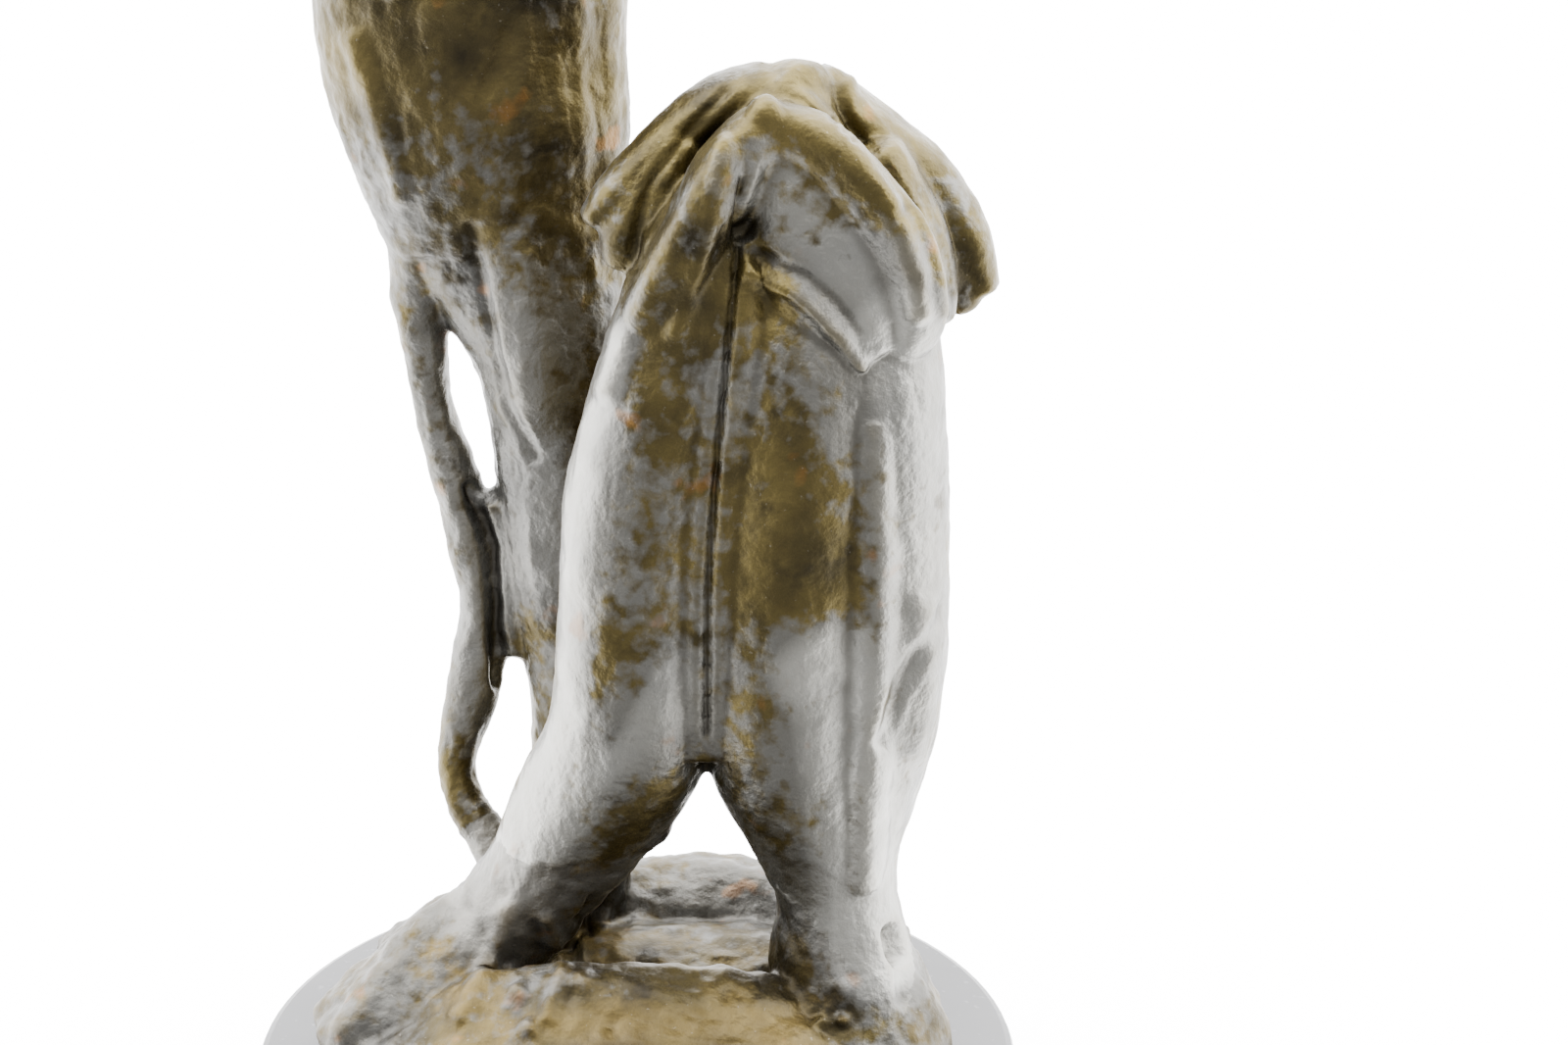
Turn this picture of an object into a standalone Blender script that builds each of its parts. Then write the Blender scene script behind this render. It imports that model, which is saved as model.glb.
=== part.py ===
"""Bronze statuette on a round stone disc: a long-eared hound sitting upright beside a hollow willow stump.

Metres, +Z up. The origin is the centre of the felt's underside and -Y is the front.
Figure stations are written in millimetres, with heights measured from the top face of the stone.
"""

import math

import bmesh
import bpy
from mathutils import Vector

MM = 0.001

# Base
FELT_RADIUS = 52.0
FELT_THICK = 1.2
STONE_RADIUS = 54.0
STONE_THICK = 15.0
STONE_EDGE = 1.2
STONE_BEVEL = 0.3 * STONE_EDGE
GAP = 0.3
TRIM_GAP = 1.3 * GAP
STONE_BOTTOM = FELT_THICK + GAP
STONE_TOP = STONE_BOTTOM + STONE_THICK

# Fixings through the stone
STUD_RADIUS = 2.0
STUD_HOLE_RADIUS = 2.5
COUNTERBORE_RADIUS = 7.0
COUNTERBORE_DEPTH = 7.0
WASHER_RADIUS = 5.5
WASHER_THICK = 1.0
NUT_ACROSS_CORNERS = 8.1
NUT_THICK = 3.2
STUD_REACH = 5.0
STUD_RECESS = 1.0
STUD_PLACES = {"front": (16.0, -16.0), "back": (2.0, 27.0)}

# Locating pins between castings
PIN_RADIUS = 1.5
PIN_HOLE_RADIUS = 1.8

# How far a drill runs past the face that it breaks through
OVERRUN = 1.0

# Mesh density of the castings
VOXEL = 1.7
KEPT_SHARE = 0.14
GROUND_VOXEL = 2.2
GROUND_KEPT_SHARE = 0.2
RING_SIDES = 24
STEPS_PER_SPAN = 4
SOFTEN_FACTOR = 0.5
SOFTEN_ROUNDS = 3

# Colours, roughness and metallic of the materials
MATERIALS = {
    "felt": ((0.03, 0.05, 0.035), 0.95, 0.0),
    "stone": ((0.16, 0.16, 0.165), 0.2, 0.0),
    "bronze": ((0.085, 0.062, 0.018), 0.38, 0.85),
    "bronze_dark": ((0.06, 0.045, 0.016), 0.42, 0.85),
    "bronze_ground": ((0.11, 0.082, 0.035), 0.45, 0.85),
    "steel": ((0.55, 0.56, 0.58), 0.35, 1.0),
    "pin": ((0.45, 0.33, 0.14), 0.40, 1.0),
}


def clear_scene():
    for item in list(bpy.data.objects):
        bpy.data.objects.remove(item, do_unlink=True)


def material(name):
    """One Principled material per name, made the first time that it is asked for."""
    found = bpy.data.materials.get(name)
    if found:
        return found
    colour, roughness, metallic = MATERIALS[name]
    made = bpy.data.materials.new(name)
    made.use_nodes = True
    shader = made.node_tree.nodes["Principled BSDF"]
    shader.inputs["Base Color"].default_value = (*colour, 1.0)
    shader.inputs["Roughness"].default_value = roughness
    shader.inputs["Metallic"].default_value = metallic
    made.diffuse_color = (*colour, 1.0)
    return made


def add_object(name, mesh, material_name, smooth=True):
    obj = bpy.data.objects.new(name, mesh)
    bpy.context.scene.collection.objects.link(obj)
    mesh.materials.clear()
    mesh.materials.append(material(material_name))
    mesh.polygons.foreach_set("use_smooth", [smooth] * len(mesh.polygons))
    return obj


# ---- round parts -------------------------------------------------------------


def turned(name, profile, material_name, sides=64, place=(0.0, 0.0)):
    """A solid turned about a vertical axis; the profile is (radius, height) pairs in mm, top to bottom."""
    bm = bmesh.new()
    rings = []
    for radius, height in profile:
        ring = []
        for i in range(sides):
            angle = 2 * math.pi * i / sides
            x = place[0] + radius * math.cos(angle)
            y = place[1] + radius * math.sin(angle)
            ring.append(bm.verts.new((x * MM, y * MM, height * MM)))
        rings.append(ring)
    for upper, lower in zip(rings, rings[1:]):
        join_rings(bm, upper, lower)
    bm.faces.new(rings[0])
    bm.faces.new(list(reversed(rings[-1])))
    return finished(name, bm, material_name)


def join_rings(bm, upper, lower):
    count = len(upper)
    for i in range(count):
        j = (i + 1) % count
        bm.faces.new((upper[i], lower[i], lower[j], upper[j]))


def finished(name, bm, material_name, smooth=False):
    bmesh.ops.recalc_face_normals(bm, faces=bm.faces)
    mesh = bpy.data.meshes.new(name)
    bm.to_mesh(mesh)
    bm.free()
    return add_object(name, mesh, material_name, smooth)


def bored(target, place, radius, low, high, sides=24):
    """Cuts a vertical hole in the target, with heights in mm above the origin."""
    cutter = turned(target.name + "_cutter", [(radius, high), (radius, low)], "steel", sides, place)
    apply_boolean(target, cutter, "DIFFERENCE")


def apply_boolean(target, other, operation):
    """Applies an exact Boolean to the target and removes the other object."""
    step = target.modifiers.new("boolean", "BOOLEAN")
    step.solver = "EXACT"
    step.operation = operation
    step.object = other
    bake_modifiers(target)
    bpy.data.objects.remove(other, do_unlink=True)


def bake_modifiers(obj):
    graph = bpy.context.evaluated_depsgraph_get()
    graph.update()
    baked = bpy.data.meshes.new_from_object(obj.evaluated_get(graph))
    obj.modifiers.clear()
    obj.data = baked


# ---- sculpted masses ----------------------------------------------------------


def spline(a, b, c, d, t):
    """Catmull-Rom value between b and c."""
    return 0.5 * (2 * b + (c - a) * t + (2 * a - 5 * b + 4 * c - d) * t * t + (3 * b - a - 3 * c + d) * t**3)


def smooth_stations(stations):
    """More stations between the given ones, each (x, y, height, half width, half depth) in mm."""
    padded = [stations[0]] + list(stations) + [stations[-1]]
    out = []
    for i in range(1, len(padded) - 2):
        for step in range(STEPS_PER_SPAN):
            t = step / STEPS_PER_SPAN
            out.append([spline(*(padded[i + k][axis] for k in (-1, 0, 1, 2)), t) for axis in range(5)])
    out.append(list(stations[-1]))
    return out


def mass(bm, stations):
    """A closed rounded limb through elliptical rings, added to the bmesh."""
    path = smooth_stations(stations)
    centres = [Vector(s[:3]) for s in path]
    rings = []
    for i, station in enumerate(path):
        ahead = centres[min(i + 1, len(path) - 1)]
        behind = centres[max(i - 1, 0)]
        along = (ahead - behind).normalized()
        depth = Vector((0, 1, 0))
        depth = (depth - along * depth.dot(along)).normalized()
        width = depth.cross(along)
        ring = []
        for k in range(RING_SIDES):
            angle = 2 * math.pi * k / RING_SIDES
            sideways = width * (station[3] * math.cos(angle))
            fore_and_aft = depth * (station[4] * math.sin(angle))
            ring.append(bm.verts.new(lifted(centres[i] + sideways + fore_and_aft)))
        rings.append(ring)
    for upper, lower in zip(rings, rings[1:]):
        join_rings(bm, upper, lower)
    cap(bm, rings[0], centres[0] - centres[1], path[0])
    cap(bm, list(reversed(rings[-1])), centres[-1] - centres[-2], path[-1])


def lifted(point):
    """A figure point in mm above the stone, in metres above the origin."""
    return Vector((point[0], point[1], point[2] + STONE_TOP)) * MM


def cap(bm, ring, outward, station):
    """Closes the end of a limb with a low dome."""
    rise = min(station[3], station[4]) * 0.5
    tip = bm.verts.new(lifted(Vector(station[:3]) + outward.normalized() * rise))
    for i in range(len(ring)):
        bm.faces.new((ring[i], ring[(i + 1) % len(ring)], tip))


def cast(name, limbs, material_name="bronze", voxel=VOXEL, kept=KEPT_SHARE):
    """Fuses limbs into one smooth closed skin."""
    bm = bmesh.new()
    for stations in limbs:
        mass(bm, stations)
    bmesh.ops.recalc_face_normals(bm, faces=bm.faces)
    mesh = bpy.data.meshes.new(name)
    bm.to_mesh(mesh)
    bm.free()
    obj = add_object(name, mesh, material_name)
    fuse = obj.modifiers.new("fuse", "REMESH")
    fuse.mode = "VOXEL"
    fuse.voxel_size = voxel * MM
    fuse.adaptivity = 0.0
    soften = obj.modifiers.new("soften", "SMOOTH")
    soften.factor = SOFTEN_FACTOR
    soften.iterations = SOFTEN_ROUNDS
    thin = obj.modifiers.new("thin", "DECIMATE")
    thin.ratio = kept
    thin.use_collapse_triangulate = True
    bake_modifiers(obj)
    return obj


def split(obj, point, normal, front_name, back_name):
    """Saws a casting in two, leaving the joint gap. The front piece lies where the normal points."""
    direction = Vector(normal).normalized()
    pieces = []
    for name, side in ((front_name, 1.0), (back_name, -1.0)):
        bm = bmesh.new()
        bm.from_mesh(obj.data)
        away = direction * side
        at = lifted(point) + away * (GAP / 2 * MM)
        geometry = bm.verts[:] + bm.edges[:] + bm.faces[:]
        cut = bmesh.ops.bisect_plane(bm, geom=geometry, plane_co=at, plane_no=away, clear_inner=True)
        edges = [item for item in cut["geom_cut"] if isinstance(item, bmesh.types.BMEdge)]
        bmesh.ops.triangle_fill(bm, edges=edges, use_beauty=True)
        bmesh.ops.triangulate(bm, faces=bm.faces)
        pieces.append(finished(name, bm, obj.data.materials[0].name, smooth=True))
    bpy.data.objects.remove(obj, do_unlink=True)
    return pieces


def grown_copy(obj, amount):
    """A copy of the casting with its skin moved outwards by an amount in mm."""
    bm = bmesh.new()
    bm.from_mesh(obj.data)
    bm.normal_update()
    moves = {v: v.normal.copy() for v in bm.verts}
    for vert, normal in moves.items():
        vert.co += normal * (amount * MM)
    return finished(obj.name + "_grown", bm, "steel")


def cut_clear(target, neighbour):
    """Trims the target so that it stands a joint gap clear of its neighbour."""
    apply_boolean(target, grown_copy(neighbour, TRIM_GAP), "DIFFERENCE")
    keep_largest(target)


def keep_largest(obj):
    """Drops the loose crumbs that a cut leaves."""
    bm = bmesh.new()
    bm.from_mesh(obj.data)
    unseen = set(bm.verts)
    islands = []
    while unseen:
        todo = [unseen.pop()]
        island = list(todo)
        while todo:
            for edge in todo.pop().link_edges:
                for vert in edge.verts:
                    if vert in unseen:
                        unseen.discard(vert)
                        island.append(vert)
                        todo.append(vert)
        islands.append(island)
    islands.sort(key=len)
    for island in islands[:-1]:
        bmesh.ops.delete(bm, geom=island, context="VERTS")
    bm.to_mesh(obj.data)
    bm.free()


# ---- base ---------------------------------------------------------------------


def make_base():
    turned("felt_pad", [(FELT_RADIUS, FELT_THICK), (FELT_RADIUS, 0.0)], "felt")
    rim = STONE_RADIUS - STONE_EDGE
    profile = [
        (rim, STONE_TOP),
        (STONE_RADIUS - STONE_BEVEL, STONE_TOP - STONE_BEVEL),
        (STONE_RADIUS, STONE_TOP - STONE_EDGE),
        (STONE_RADIUS, STONE_BOTTOM + STONE_EDGE),
        (rim, STONE_BOTTOM),
    ]
    stone = turned("stone_base", profile, "stone", sides=96)
    for place in STUD_PLACES.values():
        bored(stone, place, STUD_HOLE_RADIUS, 0.0, STONE_TOP + OVERRUN)
        bored(stone, place, COUNTERBORE_RADIUS, 0.0, STONE_BOTTOM + COUNTERBORE_DEPTH, sides=32)


def make_fixings(ground):
    """A stud, washer and nut at each place; the studs reach up into the ground casting."""
    seat = STONE_BOTTOM + COUNTERBORE_DEPTH
    washer_top = seat - GAP
    nut_top = washer_top - WASHER_THICK - GAP
    for label, place in STUD_PLACES.items():
        stud_top = STONE_TOP + STUD_REACH
        bored(ground, place, STUD_HOLE_RADIUS, 0.0, stud_top + GAP)
        stud = [(STUD_RADIUS, stud_top), (STUD_RADIUS, STONE_BOTTOM + STUD_RECESS)]
        turned("base_stud_" + label, stud, "steel", 20, place)
        washer = [(WASHER_RADIUS, washer_top), (WASHER_RADIUS, washer_top - WASHER_THICK)]
        ring = turned("base_washer_" + label, washer, "steel", 32, place)
        bored(ring, place, STUD_RADIUS + GAP, 0.0, seat + OVERRUN)
        nut = [(NUT_ACROSS_CORNERS / 2, nut_top), (NUT_ACROSS_CORNERS / 2, nut_top - NUT_THICK)]
        hexagon = turned("base_nut_" + label, nut, "steel", 6, place)
        bored(hexagon, place, STUD_RADIUS + GAP, 0.0, seat + OVERRUN)


# ---- ground -------------------------------------------------------------------

BACK_RIM = [
    (-34, 18, 0, 8, 11), (-18, 27, 4, 9.5, 10), (0, 29, 5, 9.5, 10), (16, 29, 5, 9.5, 10),
    (35, 20, 1, 8, 11),
]
BACK_SLOPE = [(-8, 12, 3, 8, 14), (8, 12, 3, 8, 14), (22, 12, 3, 8, 14)]
LEDGE = [(-36, -9, 0, 8, 10), (-18, -11, 3, 8, 10), (4, -11, 3.5, 8.5, 10), (24, -11, 3.5, 8.5, 9)]
PAD = [
    (-1, 2, -3, 43, 35), (-1, 2, 1, 43, 35), (-1, 3, 4.5, 37, 29), (-1, 4, 6, 24, 18),
    (-1, 4, 6.5, 6, 5),
]
LEFT_MOUND = [(-40, -4, -1, 9, 12), (-34, -2, 4, 10, 13), (-27, 1, 10, 9.5, 12), (-20, 3, 16, 8.5, 9)]
RIGHT_MOUND = [(33, -5, 2, 12, 16), (33, -3, 8, 10, 12), (32, 0, 13, 8, 9)]
WILLOW_MOUND = [(-14, 24, 2, 16, 13), (-12, 24, 8, 12, 10), (-11, 24, 13, 9, 8)]


def make_ground():
    """A rocky oval patch with a ledge in front, a rim behind, mounds under the feet and a flat underside."""
    limbs = [PAD, BACK_RIM, BACK_SLOPE, LEDGE, LEFT_MOUND, RIGHT_MOUND, WILLOW_MOUND]
    ground = cast("ground_casting", limbs, "bronze_ground", GROUND_VOXEL, GROUND_KEPT_SHARE)
    flatten_underside(ground)
    return ground


def flatten_underside(obj):
    bm = bmesh.new()
    bm.from_mesh(obj.data)
    at = Vector((0, 0, (STONE_TOP + GAP) * MM))
    geometry = bm.verts[:] + bm.edges[:] + bm.faces[:]
    cut = bmesh.ops.bisect_plane(bm, geom=geometry, plane_co=at, plane_no=(0, 0, 1), clear_inner=True)
    edges = [item for item in cut["geom_cut"] if isinstance(item, bmesh.types.BMEdge)]
    bmesh.ops.triangle_fill(bm, edges=edges, use_beauty=True)
    bmesh.ops.triangulate(bm, faces=bm.faces)
    bmesh.ops.recalc_face_normals(bm, faces=bm.faces)
    bm.to_mesh(obj.data)
    bm.free()


# ---- hound --------------------------------------------------------------------

LEFT_LOBE = [
    (-20.5, 4, 15, 8, 9), (-13.5, 3, 25, 8.5, 10), (-7, 1, 36, 10.5, 11.5),
    (-0.5, -2, 49, 11.5, 12), (1, -3, 64, 11.2, 12.5),
    (2.3, -3, 84, 11, 12), (5.5, -3, 100, 10, 11), (9.5, -2, 116, 8.5, 10), (13, 0, 126, 6, 9),
]
CHEST_SEAM = [
    (10.3, -5, 50, 5, 7), (10.8, -6.5, 66, 6.5, 8), (12.2, -6.5, 88, 6.5, 8), (14, -6, 106, 6, 7.5),
    (15.5, -4.5, 122, 4, 6.5),
]
RIGHT_LOBE = [
    (30, -7, 5, 12, 12), (29, -4, 16, 10, 10.5), (28, -2, 27, 8.8, 10),
    (25.5, -2, 38, 10.8, 11.5), (22, -3, 50, 12.3, 12.5),
    (21.5, -4, 68, 12.2, 12.5), (22.5, -4, 88, 12, 12),
    (23.5, -3, 104, 11.5, 11), (22.5, -1, 111, 9, 10),
]
RIGHT_FLANK = [
    (30, 1, 28, 6, 9), (31.5, 1, 41, 8.5, 11), (32.5, 0, 60, 11, 12.5),
    (32.5, 0, 80, 11, 12.5), (32.5, 0, 101, 10, 12), (31.5, 3, 114, 9, 8),
]
FLANK_EDGE = [(31, -5, 30, 4, 7), (32, -6, 50, 5, 8), (32.5, -6.5, 75, 5, 8), (32.5, -6, 98, 5, 7)]
BACK_MASS = [
    (30.5, 18, 6, 7.5, 16), (30.5, 19, 20, 7, 16), (30.5, 18, 34, 9, 16), (29, 16, 50, 14.5, 15),
    (28, 12, 70, 15.5, 14), (27, 10, 92, 16, 13), (25, 8, 106, 15, 12),
]
RIGHT_HAUNCH = [
    (32.5, 14, 10, 4, 16), (33, 15, 26, 4.5, 16), (36, 13, 46, 7, 13), (36, 12, 62, 7.5, 10),
    (36, 10, 76, 6, 8),
]
SPINE = [
    (26, 18, 106, 3.5, 5), (28, 21, 92, 3.5, 5), (30, 23, 72, 4, 6), (32, 27, 50, 4, 7),
    (33, 30, 30, 4, 7),
]
LEFT_BLADE = [(17, 13, 103, 5, 5), (19, 15.5, 90, 6, 6), (23, 16, 76, 5, 5)]
RIGHT_BLADE = [(36, 13, 103, 4, 5), (36.5, 15, 90, 5, 6), (36, 16, 76, 4, 5)]
SKULL = [(20, 8, 112, 17, 11), (21, 8, 124, 15, 12), (21, 7, 134, 9, 11), (24, 11, 139, 4, 5)]
JAW_LEFT = [(4, -5, 112, 4, 7), (9, -8, 122, 4.5, 6), (14, -8, 131, 5, 6), (19, -5, 136, 4.5, 6.5)]
JAW_RIGHT = [
    (19, -5, 136, 4.4, 6), (24.5, -7, 134.5, 4.2, 5.5),
    (29.5, -8, 130.5, 4.2, 5.5), (34, -8, 125, 4.4, 5.5),
    (37, -7.5, 118, 4.6, 5.5), (38, -6.5, 111.5, 4.4, 5.5), (36.5, -6, 107.5, 3.4, 4.5),
]
THROAT = [
    (22, -4, 133, 6, 7.5), (25, -5.5, 124, 9.5, 7.5), (28, -6, 114, 10, 7.5), (31, -5.5, 107, 7.5, 6.5),
]
CHEEK = [(33, 2, 131, 4, 5), (38, 1, 122, 4, 5), (40.5, 0.5, 114, 3.6, 5), (41, 0, 109, 2.8, 4)]
LEFT_EAR_RIM = [
    (19, 5.5, 140, 2.6, 5.5), (12, 5, 137.5, 3.2, 5.5), (5, 4.5, 131.5, 3.2, 5), (-1, 4, 125.5, 3, 4.5),
    (-5, 3.5, 121.6, 1.6, 3),
]
LEFT_EAR_FLAP = [
    (8, 3.5, 133, 3, 5), (3.5, 3, 126, 4.2, 5), (0, 2.5, 119.5, 3.8, 4.5), (-1.2, 2.5, 115.8, 2, 3),
]
RIGHT_EAR_RIM = [
    (25, 9, 139, 2.8, 5.5), (31, 9, 134.5, 3, 6), (39, 9, 127.5, 3.5, 5.5), (45, 8.5, 119, 3.5, 5),
    (47.7, 8, 110.5, 2.6, 4),
]
RIGHT_EAR_FLAP = [
    (36, 8, 129, 3, 5), (41, 8, 121, 3.5, 5), (44, 7.5, 112, 3.5, 4.5), (45.7, 7.5, 108.5, 2.3, 3.5),
]
TAIL = [(33, 31, 19, 3.6, 3.6), (31, 35, 15, 3.4, 3.4), (27, 38, 12.5, 3, 3), (23, 40, 11, 2.2, 2.2)]

# Saw planes of the hound: a point in mm and the side that the first named piece lies on
NECK_SAW = ((20, 0, 107), (-0.10, -0.30, 1.0))
SHOULDER_SAW = ((20, 5, 60), (-0.30, -1.0, 0.0))
CHEST_SAW = ((11.2, 0, 60), (-1.0, 0.0, -0.05))
LEFT_EAR_SAW = ((1.8, 4, 124), (-1.0, 0.0, 0.35))
RIGHT_EAR_SAW = ((40.5, 8, 120), (1.0, 0.25, 0.25))


def make_hound(ground):
    chest = [LEFT_LOBE, CHEST_SEAM, RIGHT_LOBE, RIGHT_FLANK, FLANK_EDGE]
    rump = [BACK_MASS, RIGHT_HAUNCH, SPINE, LEFT_BLADE, RIGHT_BLADE]
    skull = [SKULL, JAW_LEFT, JAW_RIGHT, THROAT, CHEEK]
    ears = [LEFT_EAR_RIM, LEFT_EAR_FLAP, RIGHT_EAR_RIM, RIGHT_EAR_FLAP]
    whole = cast("hound", chest + rump + skull + ears)
    cut_clear(whole, ground)
    head, body = split(whole, *NECK_SAW, "head", "body")
    front, back = split(body, *SHOULDER_SAW, "front", "hound_hindquarters")
    split(front, *CHEST_SAW, "hound_left_forequarter", "hound_right_forequarter")
    left_ear, head = split(head, *LEFT_EAR_SAW, "hound_left_ear", "head_rest")
    right_ear, head = split(head, *RIGHT_EAR_SAW, "hound_right_ear", "hound_head")
    keep_largest(left_ear)
    keep_largest(right_ear)
    tail = cast("hound_tail", [TAIL])
    cut_clear(tail, back)
    cut_clear(tail, ground)


# ---- willow -------------------------------------------------------------------

COLUMN = [
    (-11, 24, 6, 9, 9), (-9, 24, 24, 7.5, 8), (-8, 24, 44, 7.8, 8), (-9, 25, 64, 10, 9),
    (-10, 26, 82, 10.2, 9.5), (-11.5, 27, 96, 11.5, 10.5),
    (-15, 29, 108, 15, 12), (-18, 30, 118, 17, 13),
]
CROWN = [
    (-18, 30, 113, 17, 13), (-20, 30, 126, 20, 15), (-22, 31, 140, 21.5, 16),
    (-22, 31, 152, 21, 16), (-21, 31, 163, 16, 13),
]
ROOT = [
    (-19, 14, 13, 4, 4), (-21, 16.5, 22, 3, 3.2), (-25.2, 20, 29, 2.9, 3.2), (-26.4, 22, 35, 2.9, 3.2),
    (-23.8, 24, 46, 3.9, 4), (-22, 26, 57, 3.8, 4.5),
    (-23.3, 26.5, 66, 3.8, 4.5), (-26, 27, 77, 3.3, 4),
    (-28.2, 28, 85, 2.9, 3.4), (-29.6, 28, 95, 3.2, 4),
    (-29.8, 29, 104, 4.5, 5.5), (-29, 30, 116, 6, 8),
]
WEB = [(-17, 26, 51, 5, 4.5), (-17, 26, 62, 6.5, 5), (-18, 26, 74, 6, 4)]
KNUCKLES = [
    [(-34, 38, 118, 3, 4), (-36, 40, 136, 5, 6), (-34, 40, 152, 7, 7), (-33, 40, 160, 4, 4)],
    [(-12, 40, 122, 4, 4), (-10, 42, 140, 5, 6), (-9, 41, 154, 7, 7), (-9, 40, 162, 4, 4)],
    [(-30, 19, 150, 5, 4), (-31, 18, 157, 6, 6), (-30, 20, 164, 4, 4)],
    [(-12, 18, 153, 5, 4), (-11, 18, 160, 6, 5), (-12, 20, 166, 4, 4)],
]
STUBS = {
    "willow_stub_left": [(-34, 30, 148, 6, 6), (-38, 29, 158, 5, 5), (-40, 29, 166, 4, 4)],
    "willow_stub_middle": [(-20, 33, 158, 7, 7), (-18, 35, 168, 5.5, 5.5), (-17, 36, 175, 4, 4)],
    "willow_stub_right": [(-8, 28, 150, 6, 6), (-4, 27, 159, 5, 5), (-2, 26, 165, 4, 4)],
}

# Saw planes of the willow, written as for the hound
CROWN_SAW = ((-18, 29, 104), (0, 0, 1))
ROOT_SAW = ((-19.8, 25, 62), (-1.0, 0.0, -0.09))


def make_willow(ground):
    whole = cast("willow", [COLUMN, CROWN, ROOT, WEB] + KNUCKLES, "bronze_dark")
    cut_clear(whole, ground)
    cut_clear(whole, bpy.data.objects["hound_left_forequarter"])
    crown, lower = split(whole, *CROWN_SAW, "willow_crown", "lower")
    split(lower, *ROOT_SAW, "willow_root", "willow_column")
    for name, stations in STUBS.items():
        stub = cast(name, [stations], "bronze_dark")
        cut_clear(stub, crown)


def make_pins(names):
    """A pin across each joint between castings, in a hole bored through both pieces."""
    for label, (place, low, high, upper, lower) in names.items():
        bottom = low + STONE_TOP
        top = high + STONE_TOP
        for target in (upper, lower):
            bored(bpy.data.objects[target], place, PIN_HOLE_RADIUS, bottom - GAP, top + GAP, 12)
        turned(label, [(PIN_RADIUS, top), (PIN_RADIUS, bottom)], "pin", 12, place)


PINS = {
    "pin_neck": ((22.0, 10.0), 98.0, 118.0, "hound_head", "hound_hindquarters"),
    "pin_hindquarters": ((32.0, 18.0), 4.0, 16.0, "hound_hindquarters", "ground_casting"),
    "pin_willow_foot": ((-10.0, 24.0), 6.0, 20.0, "willow_column", "ground_casting"),
    "pin_willow_crown": ((-15.0, 28.5), 96.0, 112.0, "willow_crown", "willow_column"),
}


def main():
    clear_scene()
    make_base()
    ground = make_ground()
    make_hound(ground)
    make_willow(ground)
    make_fixings(ground)
    make_pins(PINS)


main()
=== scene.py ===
"""Looks of the bronze statuette: patinated bronze hound and willow stump on a polished stone disc.

Figure measures are in millimetres from the centre of the stone's top face. +Z is up and -Y is the front.
"""

import math

import bmesh
import bpy
import numpy as np
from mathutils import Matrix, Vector, noise


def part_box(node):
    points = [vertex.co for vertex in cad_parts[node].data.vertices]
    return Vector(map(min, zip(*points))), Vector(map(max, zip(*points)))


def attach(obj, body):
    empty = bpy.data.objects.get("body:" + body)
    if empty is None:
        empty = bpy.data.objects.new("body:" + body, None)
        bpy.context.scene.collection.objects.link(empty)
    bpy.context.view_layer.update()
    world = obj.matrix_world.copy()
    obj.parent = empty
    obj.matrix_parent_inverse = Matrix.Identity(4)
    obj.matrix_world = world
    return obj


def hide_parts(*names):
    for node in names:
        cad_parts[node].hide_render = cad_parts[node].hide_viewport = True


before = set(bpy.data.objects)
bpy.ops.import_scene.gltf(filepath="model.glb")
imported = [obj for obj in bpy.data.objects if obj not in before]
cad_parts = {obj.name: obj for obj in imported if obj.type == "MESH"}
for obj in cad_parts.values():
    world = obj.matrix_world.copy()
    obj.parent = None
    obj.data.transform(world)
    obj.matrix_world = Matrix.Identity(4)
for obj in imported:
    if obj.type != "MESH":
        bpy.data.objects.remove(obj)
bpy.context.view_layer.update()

MM = 0.001
STONE_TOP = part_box("stone_base")[1].z / MM

# Sculpting density, and how limbs end and soften where they meet
VOXEL = 0.55
SOFTEN_FACTOR = 0.5
SOFTEN_STEPS = 4
RING_SIDES = 32
STEPS_PER_SPAN = 6
DOME_SHARE = 0.5

# Keeps a division from meeting zero
TINY = 1e-12

# Rounds of smoothing: for the direction of carving, for the carved skin, and to tell hollows from edges
NORMAL_ROUNDS = 6
SKIN_ROUNDS = 1
CAVITY_ROUNDS = 30

# The bronze never dips below this height over the stone
STONE_CLEARANCE = 0.05

# Size of each kind of unevenness, and shifts that keep their noises apart
LUMP_SIZE = 7.0
GRAIN_SIZE = 2.2
GRAIN_SHIFT = 50.0
BARK_SIZE = 4.0
BARK_STRETCH = (1.0, 1.0, 0.28)
ROCK_SIZE = 8.0
ROCK_SHIFT = 90.0
ROCK_OCTAVES = 4
RIDGE_MEAN = 0.25
FALLOFF = 1.0
LACUNARITY = 2.0

# Height of lumps, of ridges (bark, or rock on the ground) and of grain on each sort of bronze
UNEVENNESS = {"hound": (0.25, 0.0, 0.10), "willow": (0.35, 0.35, 0.15), "ground": (0.35, 0.7, 0.2)}

# The photo's viewpoint. Relief and film are laid out as seen from here and stored on the mesh, and
# they fade out where the skin turns its edge to it.
EYE = (21.0, -498.0, 269.0)
EYE_PITCH = 20.8
EYE_LENS = 90.0
OUTLINE_MARGIN = 0.05
TURNING_SPAN = 0.3

# ---- masses: each station is (x, y, height, half width, half depth) -----------------

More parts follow.
